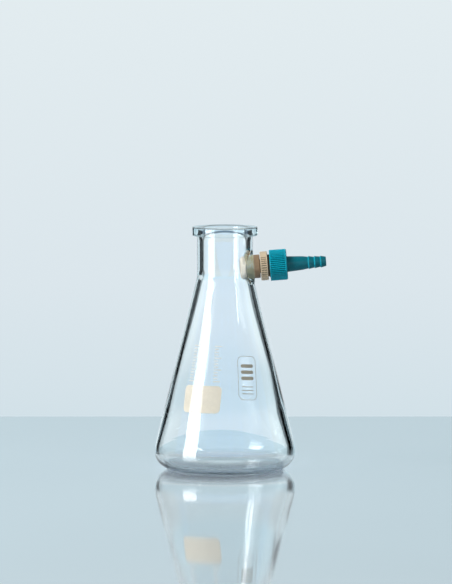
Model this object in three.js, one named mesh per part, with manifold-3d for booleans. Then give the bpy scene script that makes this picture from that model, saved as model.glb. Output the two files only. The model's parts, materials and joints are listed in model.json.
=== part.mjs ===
// A 500 mL filtering flask (Buchner flask) in heavy-walled glass, with a screw-on hose connection.
// Units are millimetres, +Z is up, and the origin is the centre of the base on the bench.
// The side arm points along +X and tilts up a little. Every arm piece is turned about that one axis.

import * as THREE from 'three';
import { mergeVertices } from 'three/addons/utils/BufferGeometryUtils.js';
import Module from 'manifold-3d';

const wasm = await Module();
wasm.setup();

// ---- driving dimensions -------------------------------------------------------------------------

const HEIGHT = 181;            // bench to the top of the rim
const BODY_R = 52.5;           // widest part of the cone
const NECK_R = 20.9;
const NECK_WALL = 4.3;
const CONE_WALL = 3.6;
const CONE_SLOPE = 0.25;       // radius lost for each millimetre of height
const HEEL_R = 13.4;           // rounding between the base and the cone
const BELLY_R = 28;            // rounding where the heel runs into the cone
const SHOULDER_R = 16;         // hollow rounding where the cone runs into the neck
const FLOOR = 4;               // glass under the edge of the inner floor
const FLOOR_CROWN = 2;         // rise of the inner floor at its centre

const RIM_R = 24.4;
const RIM_TALL = 6.5;
const RIM_ROUND = 1.3;
const LIP_ROUND = 0.9;         // rounding at the mouth
const RIM_UNDERCUT = 2;        // hollow rounding under the rim

const GAP = 0.3;               // air left between pieces that touch
const ARM_TILT = THREE.MathUtils.degToRad(4.3);
const ARM_Z = 149.57;          // where the arm's axis crosses the flask's axis

const BOSS_R = 12;             // thick glass ring round the side hole
const BOSS_IN = 14.9;          // its inner and outer faces, along the arm's axis
const BOSS_OUT = 21.8;
const HOLE_R = 7.5;
const SEAT_R = 9;              // flat ground round the hole, inside the neck

const LIP_TIP = 11.5;          // inner end of the rubber sleeve
const LIP_TIP_R = 6.8;
const LIP_R = 8.2;
const SLEEVE_OUT = 26.2;
const SLEEVE_R = 8.75;
const SLEEVE_BORE_R = 5.5;
const SLEEVE_ROUND = 0.8;

const TAIL_TIP = 12.4;         // inner end of the coupling's tail, inside the sleeve
const TAIL_R = SLEEVE_BORE_R - GAP;
const COLLAR_OUT = 32.1;
const COLLAR_R = 10.8;
const COLLAR_CHAMFER = 0.6;
const COLLAR_RIBS = 14;        // ribs on each of the collar's two gripping sides
const COLLAR_GRIP = THREE.MathUtils.degToRad(38);   // half of the angle that carries ribs
const COLLAR_RIB_DEPTH = 0.3;
const COUPLING_BORE_R = 2.75;
const SPIGOT_OUT = 39.6;       // end face of the threaded spigot

const PITCH = 3;
const THREAD_R = 8.5;          // mean radius of the spigot's thread
const THREAD_SWING = 0.45;     // half of the thread's depth
const THREAD_CLEARANCE = 0.35; // between the two threads, along a radius
const THREAD_FADE = 1.2;       // length over which a thread runs out

const SEAL_THICK = 1.5;
const SEAL_R = 7.3;
const SEAL_BORE_R = 3.6;

const FLANGE_THICK = 2.2;
const FLANGE_R = 7.6;
const STEM_R = 5.85;
const STEM_END = 58;           // where the stem starts to narrow
const STEM_END_R = 5.1;
const BARB_TOPS = [62.4, 66.9, 71.4];   // ridge of each barb, along the arm's axis
const BARB_R = [4.95, 4.6, 4.45];
const BARB_STEP = 0.55;        // how far the hose seats below each ridge
const BARB_BACK = 0.35;        // length of the steep side of a barb
const TIP = 75.5;
const TIP_R = 3.6;
const NOZZLE_BORE_R = 2.5;

const NUT_IN = 33.5;
const NUT_OUT = 46.4;
const NUT_R = 11.5;
const NUT_RIBS = 48;
const NUT_RIB_DEPTH = 0.4;
const NUT_SHOULDER = 1.1;      // rounding of the nut's outer end
const NUT_CHAMFER = 0.4;       // chamfer of its open end
const NUT_HOLE_R = 6.3;

const FLASK_SEGMENTS = 64;
const ARM_SEGMENTS = 36;
const ARC_STEPS = 2;           // a Path draws each arc in twice this many steps
const ROWS_PER_PITCH = 7;

// ---- materials ----------------------------------------------------------------------------------

const glass = new THREE.MeshStandardMaterial({ color: 0xdcebf0, roughness: 0.02, metalness: 0 });
const rubber = new THREE.MeshStandardMaterial({ color: 0xcdb18a, roughness: 0.6, metalness: 0 });
const beigePlastic = new THREE.MeshStandardMaterial({ color: 0xd8bd96, roughness: 0.35, metalness: 0 });
const tealPlastic = new THREE.MeshStandardMaterial({ color: 0x007f94, roughness: 0.35, metalness: 0 });
const blackRubber = new THREE.MeshStandardMaterial({ color: 0x2a2a2a, roughness: 0.7, metalness: 0 });

// ---- helpers ------------------------------------------------------------------------------------

// The arm's frame: its local +Z runs outwards along the arm's axis.
const arm = new THREE.Group();
arm.position.z = ARM_Z;
arm.rotation.y = Math.PI / 2 - ARM_TILT;
arm.updateMatrixWorld();

// A profile's points without repeats, which arcs that meet end to end would leave.
function profilePoints(path) {
  const smallest = 1e-3;
  return path.getPoints(ARC_STEPS).filter((point, i, all) => (
    i === 0 || point.distanceTo(all[i - 1]) > smallest
  ));
}

// Turns a profile (x is the radius, y the height) about +Z.
function turned(path, segments = ARM_SEGMENTS) {
  const geometry = new THREE.LatheGeometry(profilePoints(path), segments);
  return geometry.rotateX(Math.PI / 2);
}

// A profile drawn through corner points, given as [radius, height].
function outline(...corners) {
  return new THREE.Path(corners.map(([r, z]) => new THREE.Vector2(r, z)));
}

function cylinder(radius, low, high, segments = ARM_SEGMENTS) {
  return turned(outline([0, low], [radius, low], [radius, high], [0, high]), segments);
}

function toSolid(geometry) {
  const bare = geometry.clone();
  bare.deleteAttribute('normal');
  bare.deleteAttribute('uv');
  const merged = mergeVertices(bare);
  const index = merged.index.array;
  const triangles = [];
  for (let i = 0; i < index.length; i += 3) {
    const [a, b, c] = index.slice(i, i + 3);
    if (a !== b && b !== c && c !== a) triangles.push(a, b, c);
  }
  return new wasm.Manifold(new wasm.Mesh({
    numProp: 3,
    vertProperties: Float32Array.from(merged.attributes.position.array),
    triVerts: Uint32Array.from(triangles),
  }));
}

function toGeometry(solid) {
  const mesh = solid.getMesh();
  const geometry = new THREE.BufferGeometry();
  geometry.setAttribute('position', new THREE.BufferAttribute(mesh.vertProperties, 3));
  geometry.setIndex(new THREE.BufferAttribute(mesh.triVerts, 1));
  geometry.computeVertexNormals();
  return geometry;
}

function named(name, geometry, material) {
  const mesh = new THREE.Mesh(geometry, material);
  mesh.name = name;
  return mesh;
}

// A round right-hand thread: moves every vertex at the root radius towards the mating piece, by a
// wave that winds round the axis. side is 1 on a bar and -1 in a hole. The thread runs out to its
// root over THREAD_FADE at both of its ends.
function cutThread(geometry, rootR, side, low, high) {
  const position = geometry.attributes.position;
  const point = new THREE.Vector3();
  for (let i = 0; i < position.count; i += 1) {
    point.fromBufferAttribute(position, i);
    const radius = Math.hypot(point.x, point.y);
    const inside = point.z > low && point.z < high;
    if (!inside || Math.abs(radius - rootR) > GAP) continue;
    const fromEnd = Math.min(point.z - low, high - point.z);
    const strength = Math.min(1, fromEnd / THREAD_FADE);
    const turns = point.z / PITCH - Math.atan2(point.y, point.x) / (2 * Math.PI);
    const wave = 1 + side * Math.sin(2 * Math.PI * turns);
    const threaded = rootR + side * THREAD_SWING * strength * wave;
    position.setXY(i, point.x * threaded / radius, point.y * threaded / radius);
  }
  return geometry;
}

// Heights from low to high, close enough together to carry the thread's wave.
function threadRows(low, high) {
  const count = Math.round((high - low) / PITCH * ROWS_PER_PITCH);
  return Array.from({ length: count + 1 }, (_, i) => low + (high - low) * i / count);
}

// A ribbed round bar between two heights: isRibbed says where round the bar the ribs are.
function ribbedBar(radius, depth, step, low, high, isRibbed) {
  const corners = Math.round(2 * Math.PI / step);
  const points = Array.from({ length: corners }, (_, i) => {
    const angle = 2 * Math.PI * i / corners;
    const r = i % 2 === 1 && isRibbed(angle) ? radius - depth : radius;
    return new THREE.Vector2(r * Math.cos(angle), r * Math.sin(angle));
  });
  const settings = { depth: high - low, bevelEnabled: false };
  return new THREE.ExtrudeGeometry(new THREE.Shape(points), settings).translate(0, 0, low);
}

// ---- the glass flask ----------------------------------------------------------------------------

// The flask's profile runs out along the base, up the outside, over the rim and down the inside.
function flaskProfile() {
  const lean = Math.atan(CONE_SLOPE);
  const across = new THREE.Vector2(Math.cos(lean), Math.sin(lean));   // outward from the cone's wall
  const mouthR = NECK_R - NECK_WALL;
  const belly = new THREE.Vector2(BODY_R - BELLY_R, HEEL_R);
  const coneFoot = belly.clone().addScaledVector(across, BELLY_R);

  // Centre of the rounding that joins a neck to the cone's wall, at a depth below the wall's outside.
  const shoulderCentre = (neckR, depth, radius) => {
    const x = neckR + radius;
    const rise = (radius - depth - (x - coneFoot.x) * across.x) / across.y;
    return new THREE.Vector2(x, coneFoot.y + rise);
  };
  const shoulderInR = SHOULDER_R + NECK_WALL;
  const shoulder = shoulderCentre(NECK_R, 0, SHOULDER_R);
  const shoulderIn = shoulderCentre(mouthR, CONE_WALL, shoulderInR);

  const bandTop = HEIGHT - RIM_ROUND;
  const bandBottom = HEIGHT - RIM_TALL + RIM_ROUND;
  const underside = HEIGHT - RIM_TALL;
  const heelInR = HEEL_R - FLOOR;
  const heelInX = BODY_R - CONE_WALL - heelInR;
  const crownR = (heelInX ** 2 + FLOOR_CROWN ** 2) / (2 * FLOOR_CROWN);
  const crownHalf = Math.asin(heelInX / crownR);
  const crownY = FLOOR + FLOOR_CROWN - crownR;

  const up = Math.PI / 2;
  const path = new THREE.Path();
  path.moveTo(0, 0);
  path.lineTo(BODY_R - HEEL_R, 0);
  path.absarc(BODY_R - HEEL_R, HEEL_R, HEEL_R, -up, 0, false);
  path.absarc(belly.x, belly.y, BELLY_R, 0, lean, false);
  path.absarc(shoulder.x, shoulder.y, SHOULDER_R, Math.PI + lean, Math.PI, true);
  path.absarc(NECK_R + RIM_UNDERCUT, underside - RIM_UNDERCUT, RIM_UNDERCUT, Math.PI, up, true);
  path.absarc(RIM_R - RIM_ROUND, bandBottom, RIM_ROUND, -up, 0, false);
  path.absarc(RIM_R - RIM_ROUND, bandTop, RIM_ROUND, 0, up, false);
  path.absarc(mouthR + LIP_ROUND, HEIGHT - LIP_ROUND, LIP_ROUND, up, Math.PI, false);
  path.absarc(shoulderIn.x, shoulderIn.y, shoulderInR, Math.PI, Math.PI + lean, false);
  path.absarc(belly.x, belly.y, BELLY_R - CONE_WALL, lean, 0, true);
  path.absarc(heelInX, HEEL_R, heelInR, 0, -up, true);
  path.absarc(0, crownY, crownR, up - crownHalf, up, false);
  return path;
}

// The blown body, the thick ring melted on round the side hole, the hole through both, and the flat
// seat that the sleeve's lip lies against.
function makeFlask() {
  const shell = toSolid(turned(flaskProfile(), FLASK_SEGMENTS));
  const boss = toSolid(cylinder(BOSS_R, BOSS_IN, BOSS_OUT).applyMatrix4(arm.matrixWorld));
  const hole = toSolid(cylinder(HOLE_R, LIP_TIP, SLEEVE_OUT).applyMatrix4(arm.matrixWorld));
  const seat = toSolid(cylinder(SEAT_R, LIP_TIP, BOSS_IN).applyMatrix4(arm.matrixWorld));
  return named('flask_body', toGeometry(shell.add(boss).subtract(hole).subtract(seat)), glass);
}

// ---- the hose connection ------------------------------------------------------------------------

// The sleeve grips the glass between its inner lip and its outer shoulder.
function makeSleeve() {
  const path = outline(
    [SLEEVE_BORE_R, LIP_TIP],
    [LIP_TIP_R, LIP_TIP],
    [LIP_R, BOSS_IN - 2 * GAP - 1],
    [LIP_R, BOSS_IN - GAP],
    [HOLE_R - GAP, BOSS_IN - GAP],
    [HOLE_R - GAP, BOSS_OUT + GAP],
    [SLEEVE_R, BOSS_OUT + GAP],
    [SLEEVE_R, SLEEVE_OUT - SLEEVE_ROUND],
    [SLEEVE_R - SLEEVE_ROUND, SLEEVE_OUT],
    [SLEEVE_BORE_R, SLEEVE_OUT],
    [SLEEVE_BORE_R, LIP_TIP],
  );
  return named('rubber_sleeve', turned(path), rubber);
}

// Tail, ribbed collar and threaded spigot in one moulding, with a bore right through.
function makeCoupling() {
  const collarIn = SLEEVE_OUT + GAP;
  const ribStep = 2 * COLLAR_GRIP / COLLAR_RIBS / 2;
  const onGrip = (angle) => Math.abs(Math.sin(angle)) > Math.cos(COLLAR_GRIP);
  const bar = ribbedBar(COLLAR_R, COLLAR_RIB_DEPTH, ribStep, collarIn, COLLAR_OUT, onGrip);
  const envelope = turned(outline(
    [0, collarIn],
    [COLLAR_R - COLLAR_CHAMFER, collarIn],
    [COLLAR_R + GAP, collarIn + COLLAR_CHAMFER + GAP],
    [COLLAR_R + GAP, COLLAR_OUT - COLLAR_CHAMFER - GAP],
    [COLLAR_R - COLLAR_CHAMFER, COLLAR_OUT],
    [0, COLLAR_OUT],
  ));
  const collar = toSolid(bar).intersect(toSolid(envelope));

  const rootR = THREAD_R - THREAD_SWING;
  const threadEnd = SPIGOT_OUT - GAP;
  const rows = threadRows(COLLAR_OUT, threadEnd).map((z) => [rootR, z]);
  const spigotPath = outline(
    [0, TAIL_TIP],
    [TAIL_R - GAP, TAIL_TIP],
    [TAIL_R, TAIL_TIP + 2 * GAP],
    [TAIL_R, collarIn + GAP],
    [rootR, collarIn + GAP],
    ...rows,
    [rootR - GAP, SPIGOT_OUT],
    [0, SPIGOT_OUT],
  );
  const spigot = toSolid(cutThread(turned(spigotPath), rootR, 1, COLLAR_OUT, threadEnd));
  const bore = toSolid(cylinder(COUPLING_BORE_R, LIP_TIP, NUT_OUT));
  return named('threaded_coupling', toGeometry(collar.add(spigot).subtract(bore)), beigePlastic);
}

function makeSeal() {
  const low = SPIGOT_OUT + GAP;
  const high = low + SEAL_THICK;
  const path = outline(
    [SEAL_BORE_R, low],
    [SEAL_R, low],
    [SEAL_R, high],
    [SEAL_BORE_R, high],
    [SEAL_BORE_R, low],
  );
  return named('sealing_ring', turned(path), blackRubber);
}

// Flange, tapering stem and three barbs.
function makeNozzle() {
  const low = SPIGOT_OUT + SEAL_THICK + 2 * GAP;
  const flangeTop = low + FLANGE_THICK;
  const barbs = BARB_TOPS.flatMap((top, i) => [
    [BARB_R[i] - BARB_STEP, top - BARB_BACK],
    [BARB_R[i], top],
  ]);
  const path = outline(
    [NOZZLE_BORE_R, low],
    [FLANGE_R, low],
    [FLANGE_R, flangeTop],
    [STEM_R, flangeTop],
    [STEM_R, NUT_OUT],
    [STEM_END_R, STEM_END],
    ...barbs,
    [TIP_R, TIP],
    [NOZZLE_BORE_R, TIP],
    [NOZZLE_BORE_R, low],
  );
  return named('hose_nozzle', turned(path), tealPlastic);
}

// A ribbed cap with a threaded skirt, whose end wall holds the nozzle's flange on its seal.
function makeNut() {
  const bar = ribbedBar(NUT_R, NUT_RIB_DEPTH, Math.PI / NUT_RIBS, NUT_IN, NUT_OUT, () => true);
  const shell = new THREE.Path();
  shell.moveTo(0, NUT_IN);
  shell.lineTo(NUT_R - NUT_CHAMFER, NUT_IN);
  shell.lineTo(NUT_R + GAP, NUT_IN + NUT_CHAMFER + GAP);
  shell.absarc(NUT_R + GAP - NUT_SHOULDER, NUT_OUT - NUT_SHOULDER, NUT_SHOULDER, 0, Math.PI / 2, false);
  shell.lineTo(0, NUT_OUT);

  const flangeTop = SPIGOT_OUT + SEAL_THICK + 2 * GAP + FLANGE_THICK;
  const rootR = THREAD_R + THREAD_CLEARANCE + THREAD_SWING;
  const threadLow = NUT_IN + GAP;
  const threadHigh = SPIGOT_OUT + GAP;
  const rows = threadRows(threadLow, threadHigh).map((z) => [rootR, z]);
  const cavityPath = outline(
    [0, NUT_IN - 1],
    [rootR, NUT_IN - 1],
    ...rows,
    [rootR, flangeTop + GAP],
    [0, flangeTop + GAP],
  );
  const cavity = toSolid(cutThread(turned(cavityPath), rootR, -1, threadLow, threadHigh));
  const hole = toSolid(cylinder(NUT_HOLE_R, NUT_IN, NUT_OUT + 1));
  const nut = toSolid(bar).intersect(toSolid(turned(shell))).subtract(cavity).subtract(hole);
  return named('union_nut', toGeometry(nut), tealPlastic);
}

// ---- assembly -----------------------------------------------------------------------------------

arm.add(makeSleeve(), makeCoupling(), makeSeal(), makeNozzle(), makeNut());

const filteringFlask = new THREE.Group();
filteringFlask.add(makeFlask(), arm);

export default filteringFlask;
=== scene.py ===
"""Looks of a 500 mL filtering flask with a screw-on hose connection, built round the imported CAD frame.

Every length is in metres, in the CAD's own frame: +Z is up, the base's centre is the origin and the
side arm points along +X. Pieces that go round the arm are drawn along the arm's axis and then placed.
"""

import json
import math

import bpy
from mathutils import Matrix, Vector


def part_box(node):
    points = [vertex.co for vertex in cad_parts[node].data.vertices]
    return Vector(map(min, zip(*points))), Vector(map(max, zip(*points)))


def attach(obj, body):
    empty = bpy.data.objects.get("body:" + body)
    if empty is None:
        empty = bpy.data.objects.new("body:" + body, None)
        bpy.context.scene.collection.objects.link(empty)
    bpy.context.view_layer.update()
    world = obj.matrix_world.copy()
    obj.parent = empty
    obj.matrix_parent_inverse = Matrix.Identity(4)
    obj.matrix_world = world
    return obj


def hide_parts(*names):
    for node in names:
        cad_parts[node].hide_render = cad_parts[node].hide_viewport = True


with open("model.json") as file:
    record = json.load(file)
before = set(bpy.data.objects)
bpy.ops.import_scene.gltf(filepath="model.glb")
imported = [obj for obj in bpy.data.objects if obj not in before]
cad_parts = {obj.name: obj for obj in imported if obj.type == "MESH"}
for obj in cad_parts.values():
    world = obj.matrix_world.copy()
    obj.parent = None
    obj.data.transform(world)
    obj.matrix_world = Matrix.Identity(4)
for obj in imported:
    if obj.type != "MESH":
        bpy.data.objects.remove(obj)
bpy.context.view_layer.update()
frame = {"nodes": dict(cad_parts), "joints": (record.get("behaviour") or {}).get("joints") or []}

MM = 0.001
WHITE = (1.0, 1.0, 1.0, 1.0)

# ---- sizes read from the frame ------------------------------------------------------------------

flask_low, flask_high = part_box("flask_body")
HEIGHT = flask_high.z
BODY_R = -flask_low.x

arm_joint = next(j for j in frame["joints"] if j["name"] == "nut_turn")
ARM_AXIS = Vector(arm_joint["axis"]).normalized()
arm_point = Vector(arm_joint["pos_m"])
ARM_ROOT = arm_point - ARM_AXIS * (arm_point.x / ARM_AXIS.x)   # where the arm's axis meets the flask's


def along_arm(node):
    """First and last point of a CAD node along the arm's axis, from the flask's own axis."""
    reach = [(v.co - ARM_ROOT).dot(ARM_AXIS) for v in frame["nodes"][node].data.vertices]
    return min(reach), max(reach)


def across_arm(node):
    """Largest radius of a CAD node about the arm's axis."""
    offsets = [v.co - ARM_ROOT for v in frame["nodes"][node].data.vertices]
    return max((o - ARM_AXIS * o.dot(ARM_AXIS)).length for o in offsets)


# ---- sizes of the glass -------------------------------------------------------------------------

NECK_R = 20.9 * MM
NECK_WALL = 4.3 * MM
CONE_WALL = 3.6 * MM
CONE_SLOPE = 0.25
HEEL_R = 13.4 * MM
BELLY_R = 28 * MM
SHOULDER_R = 16 * MM
FLOOR = 4 * MM
FLOOR_CROWN = 2 * MM
PUNT = 1.6 * MM               # hollow under the base
PUNT_R = 37 * MM

RIM_R = 24.4 * MM
RIM_TALL = 6.5 * MM
RIM_ROUND = 0.8 * MM
LIP_ROUND = 1.3 * MM
RIM_UNDERCUT = 0.4 * MM

BOSS_R = 12 * MM
BOSS_IN = 14.9 * MM           # the boss's inner and outer faces, along the arm's axis
BOSS_OUT = 21.8 * MM
BOSS_MELT = 1.8 * MM          # width over which the boss runs into the neck
HOLE_R = 7.5 * MM
SEAT_R = 9 * MM               # flat inner seat of the sleeve's lip

GAP = 0.3 * MM                # air left between neighbouring pieces


# ---- mesh helpers -------------------------------------------------------------------------------

def arc(centre, radius, start, end, steps):
    """Points of a round stretch of a profile, in (radius, height), between two angles in degrees."""
    angles = [math.radians(start + (end - start) * i / steps) for i in range(steps + 1)]
    return [(centre[0] + radius * math.cos(a), centre[1] + radius * math.sin(a)) for a in angles]


def subdivide(profile, longest):
    """The same profile with its long straight stretches split into steps no longer than longest."""
    points = [profile[0]]
    for (r0, z0), (r1, z1) in zip(profile, profile[1:]):
        steps = max(1, math.ceil(math.hypot(r1 - r0, z1 - z0) / longest))
        points += [(r0 + (r1 - r0) * i / steps, z0 + (z1 - z0) * i / steps) for i in range(1, steps + 1)]
    return points


def new_piece(name, vertices, faces):
    """A mesh object of this name, linked into the scene."""
    mesh = bpy.data.meshes.new(name)
    mesh.from_pydata(vertices, [], faces)
    mesh.validate()
    piece = bpy.data.objects.new(name, mesh)
    bpy.context.scene.collection.objects.link(piece)
    return piece


def revolve(name, profile, segments, radius_at=None, place=Matrix.Identity(4)):
    """Turns a closed profile about the local Z axis. radius_at(r, z, angle) may press ribs or a thread."""
    tiny = 1e-7
    vertices, rings = [], []
    for r, z in profile:
        if r < tiny:
            rings.append([len(vertices)] * segments)
            vertices.append(place @ Vector((0, 0, z)))
            continue
        ring = []
        for i in range(segments):
            angle = 2 * math.pi * i / segments
            radius = radius_at(r, z, angle) if radius_at else r
            ring.append(len(vertices))
            vertices.append(place @ Vector((radius * math.cos(angle), radius * math.sin(angle), z)))
        rings.append(ring)
    pairs = list(zip(rings, rings[1:]))
    if profile[0][0] > tiny:
        pairs.append((rings[-1], rings[0]))
    faces = []
    for low, high in pairs:
        for i in range(segments):
            j = (i + 1) % segments
            corners = dict.fromkeys((low[i], low[j], high[j], high[i]))   # a triangle at a pole
            if len(corners) > 2:
                faces.append(tuple(corners))
    return new_piece(name, vertices, faces)


def apply_modifiers(piece):
    """Turns the piece's modifiers into plain mesh."""
    graph = bpy.context.evaluated_depsgraph_get()
    mesh = bpy.data.meshes.new_from_object(piece.evaluated_get(graph))
    piece.modifiers.clear()
    piece.data = mesh


def smooth(piece, sharp_above=35):
    """Smooth shading, with edges sharper than this many degrees kept sharp."""
    piece.data.shade_smooth()
    piece.data.set_sharp_from_angle(angle=math.radians(sharp_above))


def smoothstep(edge0, edge1, x):
    """0 below edge0 and 1 above edge1, with a soft rise between."""
    t = min(1.0, max(0.0, (x - edge0) / (edge1 - edge0)))
    return t * t * (3 - 2 * t)


def arm_place():
    """Takes the local Z axis to the arm's axis."""
    side = Vector((0, 1, 0))
    up = side.cross(ARM_AXIS)
    turn = Matrix((up, side, ARM_AXIS)).transposed().to_4x4()
    return Matrix.Translation(ARM_ROOT) @ turn


ARM = arm_place()

# ---- material helpers ---------------------------------------------------------------------------


class Nodes:
    """A short way to add nodes and links to one node tree."""

    def __init__(self, tree):
        self.tree = tree

    def add(self, kind, **values):
        node = self.tree.nodes.new(kind)
        for key, value in values.items():
            if hasattr(node, key):
                setattr(node, key, value)
            else:
                node.inputs[key.replace("_", " ")].default_value = value
        return node

    def link(self, out, into):
        self.tree.links.new(out, into)


def new_material(name):
    """A node material, with its node helper and its Principled shader."""
    material = bpy.data.materials.new(name)
    material.use_nodes = True
    nodes = Nodes(material.node_tree)
    shader = material.node_tree.nodes["Principled BSDF"]
    return material, nodes, shader


def noise(nodes, scale, detail=3.0, roughness=0.5):
    """Noise in the piece's own coordinates, which are the row frame's metres."""
    place = nodes.add("ShaderNodeTexCoord")
    texture = nodes.add("ShaderNodeTexNoise", Scale=scale, Detail=detail, Roughness=roughness)
    nodes.link(place.outputs["Object"], texture.inputs["Vector"])
    return texture.outputs["Fac"]


NOISE_LOW, NOISE_HIGH = 0.3, 0.7          # between these lies nearly all of a noise texture's range


def remap(nodes, value, low, high, from_low=NOISE_LOW, from_high=NOISE_HIGH):
    """A value taken from one range to another and held inside it. The usual value is noise."""
    node = nodes.add("ShaderNodeMapRange")
    node.inputs["From Min"].default_value = from_low
    node.inputs["From Max"].default_value = from_high
    node.inputs["To Min"].default_value = low
    node.inputs["To Max"].default_value = high
    nodes.link(value, node.inputs["Value"])
    return node.outputs["Result"]


def ramp(nodes, value, stops):
    """A colour ramp through (position, colour) stops."""
    node = nodes.add("ShaderNodeValToRGB")
    elements = node.color_ramp.elements
    elements.remove(elements[1])
    elements[0].position, elements[0].color = stops[0][0], (*stops[0][1], 1)
    for position, colour in stops[1:]:
        elements.new(position).color = (*colour, 1)
    nodes.link(value, node.inputs["Fac"])
    return node.outputs["Color"]


def blend_colours(nodes, factor, first, second):
    """A blotchy mix of two colours, by a noise factor."""
    return ramp(nodes, factor, ((NOISE_LOW, first), (NOISE_HIGH, second)))


def arm_coordinates(nodes):
    """Distance along the arm's axis from the flask's axis, and distance from the arm's axis."""
    place = nodes.add("ShaderNodeTexCoord")
    offset = nodes.add("ShaderNodeVectorMath", operation="SUBTRACT")
    nodes.link(place.outputs["Object"], offset.inputs[0])
    offset.inputs[1].default_value = ARM_ROOT
    along = nodes.add("ShaderNodeVectorMath", operation="DOT_PRODUCT")
    cross = nodes.add("ShaderNodeVectorMath", operation="CROSS_PRODUCT")
    for node in (along, cross):
        nodes.link(offset.outputs["Vector"], node.inputs[0])
        node.inputs[1].default_value = ARM_AXIS
    radius = nodes.add("ShaderNodeVectorMath", operation="LENGTH")
    nodes.link(cross.outputs["Vector"], radius.inputs[0])
    return along.outputs["Value"], radius.outputs["Value"]


def tint(nodes, colour, shade):
    """The colour multiplied by a shade, which may be grey or coloured."""
    mix = nodes.add("ShaderNodeMix", data_type="RGBA", blend_type="MULTIPLY", Factor=1.0)
    nodes.link(colour, mix.inputs[6])
    nodes.link(shade, mix.inputs[7])
    return mix.outputs[2]


def bump(nodes, shader, height, strength, distance):
    """Presses a height into the shader's normal, in place of any bump it had."""
    node = nodes.add("ShaderNodeBump", Strength=strength, Distance=distance)
    nodes.link(height, node.inputs["Height"])
    nodes.link(node.outputs["Normal"], shader.inputs["Normal"])
    return node


# ---- materials ----------------------------------------------------------------------------------

def glass_material():
    """Clear borosilicate: slow waves in the blown wall, and a pressed texture on the standing ring."""
    material, nodes, shader = new_material("clear_glass")
    shader.inputs["Base Color"].default_value = WHITE
    shader.inputs["IOR"].default_value = 1.473
    shader.inputs["Transmission Weight"].default_value = 1.0
    place = nodes.add("ShaderNodeTexCoord")
    split = nodes.add("ShaderNodeSeparateXYZ")
    nodes.link(place.outputs["Object"], split.inputs["Vector"])
    on_ring = remap(nodes, split.outputs["Z"], 1.0, 0.0, 0.4 * MM, 1.2 * MM)
    stipple = noise(nodes, 900, detail=1.0)
    nodes.link(remap(nodes, on_ring, 0.0, 0.3, 0.0, 1.0), shader.inputs["Roughness"])
    waves = noise(nodes, 22, detail=1.0)
    slow = bump(nodes, shader, waves, 0.03, 1 * MM)
    fine = bump(nodes, shader, stipple, 0.5, 0.4 * MM)
    nodes.link(slow.outputs["Normal"], fine.inputs["Normal"])
    nodes.link(on_ring, fine.inputs["Strength"])
    absorb = nodes.add("ShaderNodeVolumeAbsorption", Density=14.0)
    absorb.inputs["Color"].default_value = (0.25, 0.78, 0.92, 1)
    output = material.node_tree.nodes["Material Output"]
    nodes.link(absorb.outputs["Volume"], output.inputs["Volume"])
    return material


def plastic_material(name, dark, light, roughness, grain=0.02, shine=0.5, shade=None):
    """Moulded plastic or rubber. shade(nodes) may give painted light and shade that the colour is
    multiplied by.
    """
    material, nodes, shader = new_material(name)
    cloud = noise(nodes, 180, detail=4.0)
    colour = blend_colours(nodes, cloud, dark, light)
    if shade:
        colour = tint(nodes, colour, shade(nodes))
    nodes.link(colour, shader.inputs["Base Color"])
    speck = noise(nodes, 2600, detail=2.0)
    nodes.link(remap(nodes, speck, roughness * 0.85, roughness * 1.2), shader.inputs["Roughness"])
    shader.inputs["IOR"].default_value = 1.49
    shader.inputs["Specular IOR Level"].default_value = shine
    bump(nodes, shader, speck, grain, 0.1 * MM)
    return material


def painted_groove_shade(low, high, darkest):
    """Painted shade in the grooves of a ribbed grip: dark at the radius low, full colour at the radius
    high.
    """
    def shade(nodes):
        _, radius = arm_coordinates(nodes)
        return remap(nodes, radius, darkest, 1.0, low, high)

    return shade


def enamel_material(name, colour, alpha):
    """Fired ceramic ink: slightly uneven colour, a glassy surface and a little see-through."""
    material, nodes, shader = new_material(name)
    cloud = noise(nodes, 300, detail=5.0)
    darker = tuple(0.93 * c for c in colour)
    nodes.link(blend_colours(nodes, cloud, darker, colour), shader.inputs["Base Color"])
    grain = noise(nodes, 4000, detail=2.0)
    nodes.link(remap(nodes, grain, 0.03, 0.08), shader.inputs["Roughness"])
    shader.inputs["Alpha"].default_value = alpha
    return material


# ---- glass --------------------------------------------------------------------------------------

def finish_piece(piece, material, body, node, sharp_above=35):
    """Shades a piece, and gives it its material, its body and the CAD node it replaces."""
    smooth(piece, sharp_above)
    piece.data.materials.append(material)
    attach(piece, body)
    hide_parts(node)


LEAN = math.atan(CONE_SLOPE)
BELLY = (BODY_R - BELLY_R, HEEL_R)
CONE_FOOT = (BELLY[0] + BELLY_R * math.cos(LEAN), BELLY[1] + BELLY_R * math.sin(LEAN))


def shoulder_centre(neck_r, depth, radius):
    """Centre of the round that joins a neck of this radius to the cone's wall, this deep in the glass."""
    x = neck_r + radius
    across = radius - depth - (x - CONE_FOOT[0]) * math.cos(LEAN)
    return x, CONE_FOOT[1] + across / math.sin(LEAN)


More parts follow.
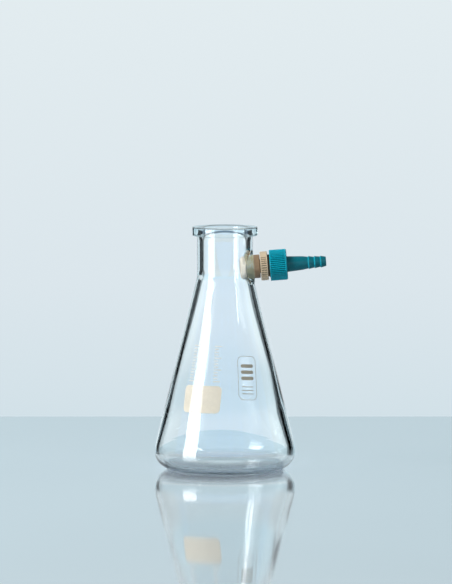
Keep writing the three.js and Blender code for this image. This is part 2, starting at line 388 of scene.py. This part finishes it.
def flask_profile():
    """Out along the base, up the outside, over the rim and down the inside to the floor's centre."""
    lean = math.degrees(LEAN)
    shoulder = shoulder_centre(NECK_R, 0, SHOULDER_R)
    band_low = HEIGHT - RIM_TALL
    mouth_r = NECK_R - NECK_WALL
    shoulder_in_r = SHOULDER_R + NECK_WALL
    shoulder_in = shoulder_centre(mouth_r, CONE_WALL, shoulder_in_r)
    heel_in = HEEL_R - FLOOR
    heel_in_x = BODY_R - CONE_WALL - heel_in
    crown_r = (heel_in_x ** 2 + FLOOR_CROWN ** 2) / (2 * FLOOR_CROWN)
    crown_half = math.degrees(math.asin(heel_in_x / crown_r))

    punt_steps = 14
    radii = [PUNT_R * i / punt_steps for i in range(punt_steps + 1)]
    punt = [(r, PUNT * (1 - (r / PUNT_R) ** 2) ** 2) for r in radii]
    outside = (
        punt
        + arc((BODY_R - HEEL_R, HEEL_R), HEEL_R, -90, 0, 20)
        + arc(BELLY, BELLY_R, 0, lean, 5)[1:]
        + arc(shoulder, SHOULDER_R, 180 + lean, 180, 6)
        + arc((NECK_R + RIM_UNDERCUT, band_low - RIM_UNDERCUT), RIM_UNDERCUT, 180, 90, 8)
        + arc((RIM_R - RIM_ROUND, band_low + RIM_ROUND), RIM_ROUND, -90, 0, 8)
        + arc((RIM_R - RIM_ROUND, HEIGHT - RIM_ROUND), RIM_ROUND, 0, 90, 8)
    )
    inside = (
        arc((mouth_r + LIP_ROUND, HEIGHT - LIP_ROUND), LIP_ROUND, 90, 180, 8)
        + arc(shoulder_in, shoulder_in_r, 180, 180 + lean, 6)
        + arc(BELLY, BELLY_R - CONE_WALL, lean, 0, 5)
        + arc((heel_in_x, HEEL_R), heel_in, 0, -90, 14)[1:]
        + arc((0, FLOOR + FLOOR_CROWN - crown_r), crown_r, 90 - crown_half, 90, 12)[1:]
    )
    inside[-1] = (0.0, inside[-1][1])
    coarse, fine = 4 * MM, 0.7 * MM
    boss_low = ARM_ROOT.z - BOSS_R - 2 * BOSS_MELT
    boss_high = ARM_ROOT.z + BOSS_R + 3 * BOSS_MELT

    def refine(points):
        refined = [points[0]]
        for point in subdivide(points, coarse)[1:]:
            near = boss_low < point[1] < boss_high
            refined += subdivide([refined[-1], point], fine if near else coarse)[1:]
        return refined

    return refine(outside), refine(inside)


def blown_wall(point):
    """Shifts a point of the inner wall as blowing left it: thin under the neck, thick low on one side."""
    z = point.z
    below_neck = 1 - smoothstep(115 * MM, 140 * MM, z)
    r = math.hypot(point.x, point.y)
    if r < 1 * MM:
        return point
    thin = 0.7 * MM * math.exp(-((z - 95 * MM) / (40 * MM)) ** 2)
    thick = 1.0 * MM * math.exp(-((z - 45 * MM) / (20 * MM)) ** 2)
    oval = 0.5 * MM * smoothstep(45 * MM, 110 * MM, z) * (point.x / r) ** 2
    aside = 0.15 * MM + 0.5 * MM * (1 - smoothstep(45 * MM, 85 * MM, z))
    scale = 1 + (thin - thick - oval) * below_neck / r
    return Vector((point.x * scale - aside * below_neck, point.y * scale, z))


def melt_boss(point, is_outside):
    """Swells the neck's wall into a thick flat-faced ring round the side hole."""
    offset = point - ARM_ROOT
    reach = offset.dot(ARM_AXIS)
    if reach < 0:
        return point
    spread = (offset - ARM_AXIS * reach).length
    if is_outside:
        share = 1 - smoothstep(BOSS_R - BOSS_MELT, BOSS_R + BOSS_MELT, spread)
        return point + ARM_AXIS * max(0.0, BOSS_OUT - reach) * share
    share = 1 - smoothstep(SEAT_R, SEAT_R + BOSS_MELT, spread)
    return point + ARM_AXIS * (BOSS_IN - reach) * share


def make_flask():
    """Blown glass with its walls, boss and side hole."""
    segments = 240
    outside, inside = flask_profile()
    flask = revolve("glass_flask", outside + inside, segments)
    outside_count = 1 + (len(outside) - 1) * segments      # the base's centre is a single vertex
    for vertex in flask.data.vertices:
        is_outside = vertex.index < outside_count
        blown = vertex.co.copy() if is_outside else blown_wall(vertex.co.copy())
        vertex.co = melt_boss(blown, is_outside)

    drill_in, drill_out = 5 * MM, 30 * MM
    drill_profile = [(0, drill_in), (HOLE_R, drill_in), (HOLE_R, drill_out), (0, drill_out)]
    drill = revolve("drill", drill_profile, 96, place=ARM)
    cut = flask.modifiers.new("hole", "BOOLEAN")
    cut.operation = "DIFFERENCE"
    cut.object = drill
    apply_modifiers(flask)
    bpy.data.objects.remove(drill)
    flask.data.materials.clear()
    flask.visible_shadow = False                # light goes through clear glass
    finish_piece(flask, glass_material(), "flask", "flask_body", sharp_above=50)
    return flask


# ---- hose connection ----------------------------------------------------------------------------

def make_sleeve():
    """A rubber plug with a lip inside the neck and a shoulder outside."""
    tip, out = along_arm("rubber_sleeve")
    bore, shoulder = 5.5 * MM, across_arm("rubber_sleeve")
    lip, tip_r = 8.2 * MM, 6.8 * MM
    shank = HOLE_R + 0.05 * MM                 # rubber pressed onto the glass, so no air shows between
    seat_in, seat_out = BOSS_IN + 0.05 * MM, BOSS_OUT - 0.05 * MM
    edge = 0.6 * MM
    profile = (
        [(bore, tip)]
        + arc((tip_r - edge, tip + edge), edge, -90, -20, 5)
        + arc((lip - edge, seat_in - 1.6 * MM), edge, -20, 0, 3)
        + arc((lip - edge / 2, seat_in - edge / 2), edge / 2, 0, 90, 4)
        + [(shank, seat_in), (shank, seat_out)]
        + arc((shoulder - edge, seat_out + edge), edge, -90, 0, 5)
        + arc((shoulder - edge, out - edge), edge, 0, 90, 5)
        + [(bore, out)]
    )
    sleeve = revolve("sleeve", subdivide(profile, 1 * MM), 96, place=ARM)

    def painted_light_and_shade(nodes):
        """Painted light and shade along the sleeve: pale where light reaches the lip inside the flask,
        olive under the thick glass of the boss, shaded brown in the open air.
        """
        along, _ = arm_coordinates(nodes)
        share = remap(nodes, along, 0.0, 1.0, tip, out)
        return ramp(nodes, share, (
            (0.0, (0.86, 0.75, 0.6)),
            (0.2, (0.82, 0.7, 0.54)),
            (0.3, (0.5, 0.45, 0.27)),
            (0.66, (0.45, 0.38, 0.22)),
            (0.72, (0.33, 0.22, 0.13)),
            (1.0, (0.42, 0.29, 0.18)),
        ))

    # The sleeve's colour carries painted light and shade along its length.
    material = plastic_material(
        "natural_rubber", (0.78, 0.74, 0.68), (0.9, 0.86, 0.8), 0.5, grain=0.05, shade=painted_light_and_shade)
    finish_piece(sleeve, material, "flask", "rubber_sleeve")


PITCH = 3 * MM
THREAD_ROOT = 8.05 * MM       # the spigot's radius at the bottom of its thread
THREAD_DEPTH = 0.9 * MM
THREAD_CLEARANCE = 0.35 * MM


def thread_radius(root, side, low, high):
    """radius_at for a round right-hand thread between two heights: side is 1 on a bar, -1 in a hole."""
    fade, on_root = 1.2 * MM, 0.05 * MM

    def radius_at(r, z, angle):
        if abs(r - root) > on_root or not low < z < high:
            return r
        strength = min(1.0, (z - low) / fade, (high - z) / fade)
        wave = 1 + side * math.sin(2 * math.pi * z / PITCH - angle)
        return r + side * THREAD_DEPTH / 2 * strength * wave

    return radius_at


def make_coupling():
    """Tail, collar with ribs on its two gripping sides, and threaded spigot."""
    tip, end = along_arm("threaded_coupling")
    collar_in = along_arm("rubber_sleeve")[1] + GAP
    collar_out = collar_in + 5.6 * MM
    collar_r = across_arm("threaded_coupling")
    edge, tail_r, bore = 0.7 * MM, 5.2 * MM, 2.75 * MM
    grip, ribs, rib_depth = math.radians(42), 9, 0.5 * MM
    profile = (
        [(bore, tip), (tail_r - GAP, tip), (tail_r, tip + GAP), (tail_r, collar_in)]
        + arc((collar_r - edge, collar_in + edge), edge, -90, 0, 6)
        + arc((collar_r - edge, collar_out - edge), edge, 0, 90, 6)
        + [(THREAD_ROOT, collar_out), (THREAD_ROOT, end - GAP), (THREAD_ROOT - GAP, end)]
        + [(bore, end)]
    )
    thread = thread_radius(THREAD_ROOT, 1, collar_out, end - GAP)

    def radius_at(r, z, angle):
        if r < collar_r - edge or z > collar_out:
            return thread(r, z, angle)
        from_side = math.asin(abs(math.cos(angle)))       # 0 where the collar faces front or back
        if from_side > grip:
            return r
        wave = 0.5 - 0.5 * math.cos(2 * math.pi * ribs * from_side / (2 * grip))
        ends = smoothstep(collar_in + 0.4 * MM, collar_in + 1 * MM, z)
        ends *= 1 - smoothstep(collar_out - 1 * MM, collar_out - 0.4 * MM, z)
        return r - rib_depth * wave * ends

    coupling = revolve("coupling", subdivide(profile, 0.35 * MM), 288, radius_at, ARM)
    # The collar's rib grooves get painted shade.
    material = plastic_material(
        "beige_plastic", (0.72, 0.55, 0.36), (0.78, 0.6, 0.4), 0.3,
        shade=painted_groove_shade(collar_r - rib_depth, collar_r - 0.2 * rib_depth, 0.35))
    finish_piece(coupling, material, "flask", "threaded_coupling")


def make_seal():
    """The flat ring between the spigot and the nozzle."""
    low, high = along_arm("sealing_ring")
    outer, bore, edge = across_arm("sealing_ring"), 3.6 * MM, 0.3 * MM
    profile = (
        arc((bore + edge, low + edge), edge, 180, 270, 3)
        + arc((outer - edge, low + edge), edge, -90, 0, 3)
        + arc((outer - edge, high - edge), edge, 0, 90, 3)
        + arc((bore + edge, high - edge), edge, 90, 180, 3)
    )
    seal = revolve("seal", profile, 72, place=ARM)
    material = plastic_material("black_rubber", (0.018, 0.018, 0.018), (0.03, 0.03, 0.03), 0.55)
    finish_piece(seal, material, "seal", "sealing_ring")


FLANGE_THICK = 2.2 * MM
BARB_TOPS = (62.4 * MM, 66.9 * MM, 71.4 * MM)
BARB_R = (4.95 * MM, 4.6 * MM, 4.45 * MM)


def make_nozzle():
    """Flange inside the nut, tapering stem and three barbs."""
    low, tip = along_arm("hose_nozzle")
    flange_r = across_arm("hose_nozzle")
    flange_top = low + FLANGE_THICK
    nut_out = along_arm("union_nut")[1]
    stem_r, stem_end, stem_end_r = 5.85 * MM, 58 * MM, 5.1 * MM
    tip_r, bore, edge = 3.6 * MM, 2.5 * MM, 0.4 * MM
    barb_step, ridge = 0.55 * MM, 0.12 * MM
    profile = [(bore, low), (flange_r, low), (flange_r, flange_top), (stem_r, flange_top)]
    profile += [(stem_r, nut_out), (stem_end_r, stem_end)]
    for top, r in zip(BARB_TOPS, BARB_R):
        profile += [(r - barb_step, top - 0.45 * MM), (r - barb_step, top - 0.3 * MM)]
        profile += arc((r - ridge, top), ridge, -80, 60, 5)
    profile += arc((tip_r - edge, tip - edge), edge, 20, 90, 5)
    profile += arc((bore + edge / 2, tip - edge / 2), edge / 2, 90, 180, 3)
    nozzle = revolve("nozzle", subdivide(profile, 1.5 * MM), 128, place=ARM)

    def painted_ridge_highlights(nodes):
        """Painted highlights: the plastic is palest on the ridges of the barbs."""
        along, _ = arm_coordinates(nodes)
        share = remap(nodes, along, 0.0, 1.0, low, tip)
        plain, highlit, half = (0.36, 0.36, 0.36), (1.0, 1.0, 1.0), 0.3 * MM
        stops = [(0.0, plain)]
        for top in BARB_TOPS:
            reach = [(top + offset - low) / (tip - low) for offset in (-2 * half, -half, half, 2 * half)]
            stops += zip(reach, (plain, highlit, highlit, plain))
        return ramp(nodes, share, stops)

    # The nozzle's colour carries painted highlights on the barb ridges.
    material = plastic_material(
        "dark_teal_plastic", (0.0, 0.44, 0.56), (0.02, 0.5, 0.64), 0.3, shine=0.3, shade=painted_ridge_highlights)
    finish_piece(nozzle, material, "nozzle", "hose_nozzle")


def make_nut():
    """A cap with ribs all round it and a thread inside."""
    low, high = along_arm("union_nut")
    nut_r = across_arm("union_nut")
    ribs, rib_depth = 48, 0.75 * MM
    shoulder, edge = 1.1 * MM, 0.35 * MM
    hole_r = 6.3 * MM
    thread_root = THREAD_ROOT + THREAD_DEPTH + THREAD_CLEARANCE
    flange_top = along_arm("hose_nozzle")[0] + FLANGE_THICK + GAP
    spigot_end = along_arm("threaded_coupling")[1]
    profile = (
        [(thread_root, low)]
        + arc((nut_r - edge, low + edge), edge, -90, 0, 4)
        + arc((nut_r - shoulder, high - shoulder), shoulder, 0, 90, 8)
        + [(hole_r, high), (hole_r, flange_top), (thread_root, flange_top)]
    )
    thread = thread_radius(thread_root, -1, low + GAP, spigot_end + GAP)

    def radius_at(r, z, angle):
        if r < nut_r - shoulder:
            return thread(r, z, angle)
        groove = (0.5 - 0.5 * math.cos(ribs * angle)) ** 2
        ends = smoothstep(low + 0.7 * MM, low + 1.2 * MM, z)
        ends *= 1 - smoothstep(high - 1.4 * MM, high - 0.8 * MM, z)
        return r - rib_depth * groove * ends

    nut = revolve("nut", subdivide(profile, 0.4 * MM), 384, radius_at, ARM)
    # The nut's rib grooves get painted shade.
    material = plastic_material(
        "teal_plastic", (0.0, 0.37, 0.48), (0.0, 0.42, 0.54), 0.35, shine=0.3,
        shade=painted_groove_shade(nut_r - rib_depth, nut_r - 0.3 * rib_depth, 0.25))
    finish_piece(nut, material, "nut", "union_nut")


# ---- fired prints on the cone -------------------------------------------------------------------

LIFT = 0.03 * MM              # between the glass and the back of a print, so they don't flicker
PRINT_THICK = 0.04 * MM


def on_cone(place, u, v):
    """The point u metres round and v metres up from a place on the cone, a hair off the glass.

    A place is its azimuth and its turn clockwise in the wall, in degrees, and its height.
    """
    azimuth, turn, height = math.radians(place[0]), math.radians(place[1]), place[2]
    u, v = u * math.cos(turn) + v * math.sin(turn), v * math.cos(turn) - u * math.sin(turn)
    z = height + v * math.cos(LEAN)
    r = CONE_FOOT[0] - CONE_SLOPE * (z - CONE_FOOT[1])
    angle = azimuth + u / r
    r += LIFT
    return Vector((r * math.sin(angle), -r * math.cos(angle), z))


def rounded_loop(width, tall, corner):
    """A rounded rectangle round the origin, always with the same number of points."""
    turns, straight = 6, 12
    w, t = width / 2 - corner, tall / 2 - corner
    points = []
    for centre, start in (((w, t), 0), ((-w, t), 90), ((-w, -t), 180), ((w, -t), 270)):
        points += arc(centre, corner, start, start + 90, turns)
    loop = []
    for (u0, v0), (u1, v1) in zip(points, points[1:] + points[:1]):
        steps = straight if math.hypot(u1 - u0, v1 - v0) > corner * 0.3 else 1
        loop += [(u0 + (u1 - u0) * i / steps, v0 + (v1 - v0) * i / steps) for i in range(steps)]
    return loop


def band(first, second, count):
    """Faces between two closed rings of vertices that start at these indices."""
    pairs = [(i, (i + 1) % count) for i in range(count)]
    return [(first + i, first + j, second + j, second + i) for i, j in pairs]


def print_patches(name, place, patches, material):
    """One fired print made of filled rounded rectangles, each (u, v, width, height, corner)."""
    vertices, faces = [], []
    rings = 6                 # from a patch's rim in to its middle, so that it follows the cone
    for u0, v0, width, tall, corner in patches:
        start = len(vertices)
        rim = rounded_loop(width, tall, corner)
        count = len(rim)
        for ring in range(rings):
            share = 1 - ring / rings
            vertices += [on_cone(place, u0 + u * share, v0 + v * share) for u, v in rim]
        vertices.append(on_cone(place, u0, v0))
        for ring in range(rings - 1):
            low = start + ring * count
            faces += band(low, low + count, count)
        low, middle = start + (rings - 1) * count, start + rings * count
        faces += [(low + i, low + (i + 1) % count, middle) for i in range(count)]
    finish_print(name, vertices, faces, material)


def print_outline(name, place, width, tall, corner, line, material):
    """A fired print that is only a rounded rectangle's outline."""
    outer = rounded_loop(width, tall, corner)
    inner = rounded_loop(width - 2 * line, tall - 2 * line, corner - line)
    count = len(outer)
    vertices = [on_cone(place, u, v) for u, v in outer + inner]
    finish_print(name, vertices, band(0, count, count), material)


def finish_print(name, vertices, faces, material):
    """Gives a print its thickness, and joins it to the flask."""
    piece = new_piece(name, vertices, faces)
    skin = piece.modifiers.new("skin", "SOLIDIFY")
    skin.thickness = PRINT_THICK
    skin.offset = 1
    apply_modifiers(piece)
    smooth(piece)
    piece.data.materials.append(material)
    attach(piece, "flask")


def make_prints():
    """A writing panel, a plain tick scale beside it and a framed block of bars: no lettering."""
    cream = enamel_material("cream_enamel", (0.97, 0.88, 0.73), 0.88)
    white = enamel_material("white_enamel", (0.95, 0.93, 0.86), 0.75)
    taupe = enamel_material("taupe_enamel", (0.52, 0.46, 0.36), 0.9)

    print_patches("writing_panel", (-24.2, 0, 56.1 * MM),
                  [(0, 0, 30 * MM, 20.4 * MM, 3.4 * MM)], cream)

    tick_gap, tick_count, tick_middle = 2.2 * MM, 13, 82 * MM
    ticks = []
    for i in range(tick_count):
        width = 5.5 * MM if i % 4 == 0 else 3.2 * MM
        ticks.append((width / 2, (i - tick_count // 2) * tick_gap, width, 0.7 * MM, 0.3 * MM))
    print_patches("tick_scale_left", (-42, 0, tick_middle), ticks, white)
    print_patches("tick_scale_right", (-13, 0, tick_middle), ticks, white)

    framed = (25.4, 4, 71.5 * MM)
    print_outline("panel_frame", framed, 14.8 * MM, 33 * MM, 4 * MM, 0.3 * MM, taupe)
    bars = [(0, 9 * MM - i * 4.6 * MM, 10 * MM, 2.6 * MM, 1.2 * MM) for i in range(3)]
    bars += [(0, -6.6 * MM - i * 2.6 * MM, 9 * MM, 0.5 * MM, 0.2 * MM) for i in range(3)]
    print_patches("panel_bars", framed, bars, taupe)


# ---- stage, light and camera --------------------------------------------------------------------

def make_camera():
    """Far off and a little above, as a long lens sees a flask on a table."""
    aim = Vector((0.8 * MM, 0, 132.2 * MM))
    distance, eye_height = 4.0, 0.5
    data = bpy.data.cameras.new("camera")
    camera = bpy.data.objects.new("camera", data)
    camera.location = aim + Vector((0, -distance, eye_height - aim.z))
    view = aim - camera.location
    camera.rotation_mode = "QUATERNION"
    camera.rotation_quaternion = view.to_track_quat("-Z", "Y")
    frame_height = 434.9 * MM                   # what the picture's height takes in at the flask
    data.sensor_width = 36
    data.lens = data.sensor_width * view.length / frame_height
    data.clip_end = 50
    bpy.context.scene.collection.objects.link(camera)
    bpy.context.scene.camera = camera


def make_table():
    """A pale glossy top whose far edge is the horizon behind the flask."""
    far, wide, near = 0.339, 1.5, 1.6
    drop = -0.2 * MM                             # keeps it clear of the flask's standing ring
    corners = [(-wide, -near, drop), (wide, -near, drop), (wide, far, drop), (-wide, far, drop)]
    table = new_piece("table", corners, [(0, 1, 2, 3)])
    material, nodes, shader = new_material("table_top")
    cloud = noise(nodes, 3, detail=2.0)
    colour = blend_colours(nodes, cloud, (0.55, 0.58, 0.6), (0.58, 0.61, 0.63))
    nodes.link(colour, shader.inputs["Base Color"])
    shader.inputs["Metallic"].default_value = 0.5
    shader.inputs["Roughness"].default_value = 0.05
    table.data.materials.append(material)


WINDOW_MIDDLE = 0.84          # the window's brightness straight behind, which the world's strength undoes


def world_backdrop(nodes, direction):
    """The world's colour by height: each stop is at the sine of its elevation plus a half."""
    rise = remap(nodes, direction.outputs["Z"], 0.0, 1.0, -0.5, 0.5)
    return ramp(nodes, rise, (
        (0.0, (0.45, 0.55, 0.6)),
        (0.385, (0.645, 0.752, 0.807)),
        (0.41, (0.71, 0.792, 0.84)),
        (0.4635, (0.765, 0.84, 0.87)),
        (0.53, (0.75, 0.835, 0.87)),
        (0.56, (0.66, 0.825, 0.9)),
        (0.64, (0.66, 0.825, 0.9)),
        (0.7, (0.78, 0.86, 0.89)),
        (0.93, (0.78, 0.86, 0.89)),
        (0.97, (0.2, 0.23, 0.245)),              # dim overhead
    ))


def world_window(nodes, direction, middle):
    """The world's brightness by degrees round from straight behind the flask: window, flags, pale."""
    window_left, window_right, edge = -27.5, 25.0, 0.4
    flag_end, flag_fade = 62, 70
    dim, full = 5, 12                            # where the window starts to brighten, and is brightest
    turn = nodes.add("ShaderNodeMath", operation="ARCTAN2")
    nodes.link(direction.outputs["X"], turn.inputs[0])
    nodes.link(direction.outputs["Y"], turn.inputs[1])
    taper = remap(nodes, direction.outputs["Z"], 1.0, 1.3, -0.085, -0.035)       # narrower higher up
    tapered = nodes.add("ShaderNodeMath", operation="MULTIPLY")
    nodes.link(turn.outputs["Value"], tapered.inputs[0])
    nodes.link(taper, tapered.inputs[1])
    share = remap(nodes, tapered.outputs["Value"], 0.0, 1.0, -math.pi, math.pi)

    def at(degrees):
        return 0.5 + degrees / 360

    black, pale, bright = (0.0,) * 3, (0.55,) * 3, (1.0,) * 3
    return ramp(nodes, share, (
        (0.0, pale),
        (at(-flag_fade), pale),
        (at(-flag_end), black),
        (at(window_left - edge), black),
        (at(window_left + edge), bright),
        (at(-full), bright),
        (at(-dim), middle),
        (at(dim), middle),
        (at(full), bright),
        (at(window_right - edge), bright),
        (at(window_right + edge), black),
        (at(flag_end), black),
        (at(flag_fade), pale),
    ))


def make_world():
    """Pale all round, with a bright window straight behind the flask between two black flags."""
    world = bpy.data.worlds.new("studio")
    bpy.context.scene.world = world
    world.use_nodes = True
    nodes = Nodes(world.node_tree)
    place = nodes.add("ShaderNodeTexCoord")
    split = nodes.add("ShaderNodeSeparateXYZ")
    nodes.link(place.outputs["Generated"], split.inputs["Vector"])

    middle = (WINDOW_MIDDLE,) * 3
    window = world_window(nodes, split, middle)
    flag_high, flag_edge = 0.2, 0.04             # the flags' reach up and down, as sines of elevation
    reach = nodes.add("ShaderNodeMath", operation="ABSOLUTE")
    nodes.link(split.outputs["Z"], reach.inputs[0])
    level = remap(nodes, reach.outputs["Value"], 1.0, 0.0, flag_high - flag_edge, flag_high)
    flagged = nodes.add("ShaderNodeMix", data_type="RGBA")
    nodes.link(level, flagged.inputs["Factor"])
    flagged.inputs[6].default_value = (*middle, 1)
    nodes.link(window, flagged.inputs[7])
    colour = tint(nodes, world_backdrop(nodes, split), flagged.outputs[2])
    background = world.node_tree.nodes["Background"]
    background.inputs["Strength"].default_value = 1 / WINDOW_MIDDLE
    nodes.link(colour, background.inputs["Color"])


def aimed_light(name, azimuth, elevation, distance, width, tall, radiance, mirrored, colour=(1, 1, 1)):
    """A soft box round the flask, either seen in and through glass or only lighting matt surfaces.

    Azimuth 0 is the camera's side, positive towards +X.
    """
    data = bpy.data.lights.new(name, "AREA")
    data.shape = "RECTANGLE"
    data.size, data.size_y = width, tall
    data.energy = radiance * math.pi * width * tall
    data.color = colour
    light = bpy.data.objects.new(name, data)
    a, e = math.radians(azimuth), math.radians(elevation)
    away = Vector((math.sin(a) * math.cos(e), -math.cos(a) * math.cos(e), math.sin(e)))
    middle = Vector((0, 0, HEIGHT / 2))
    light.location = middle + away * distance
    light.rotation_mode = "QUATERNION"
    light.rotation_quaternion = (-away).to_track_quat("-Z", "Y")
    light.visible_camera = False
    light.visible_diffuse = not mirrored
    light.visible_glossy = light.visible_transmission = mirrored
    bpy.context.scene.collection.objects.link(light)
    return light


BLUE = (0.0, 0.36, 1.0)


def make_blue_screens(flask):
    """Tall blue screens round the front, mirrored only by the flask's outer face, which they tint."""
    glass_only = bpy.data.collections.new("glass_only")
    glass_only.objects.link(flask)
    distance, elevation, tall = 3.2, 11.3, 2.05
    count, step = 9, 20                          # screens, and degrees from one to the next
    brightest, fade = 2.3, 0.8
    wide = 2 * distance * math.tan(math.radians(step / 2))
    for i in range(count):
        azimuth = step * (i - count // 2)
        radiance = brightest * math.cos(math.radians(azimuth * fade))
        screen = aimed_light(
            f"blue_screen_{i}", azimuth, elevation, distance, wide, tall, radiance, True, BLUE)
        screen.visible_transmission = False
        screen.light_linking.receiver_collection = glass_only


def make_studio():
    """Table, world, lights and plain colour handling."""
    make_table()
    make_world()
    aimed_light("soft_box_left", -60, 8, 1.5, 0.66, 0.84, 9.0, mirrored=True)
    aimed_light("soft_box_right", 50, 31, 1.6, 0.12, 0.5, 12.0, mirrored=True)
    aimed_light("key_light", -62, 42, 1.5, 0.6, 0.6, 15.5, mirrored=False)
    bpy.context.scene.view_settings.view_transform = "Standard"
    bpy.context.scene.view_settings.look = "None"


make_camera()
make_studio()
make_blue_screens(make_flask())
make_sleeve()
make_coupling()
make_seal()
make_nozzle()
make_nut()
make_prints()
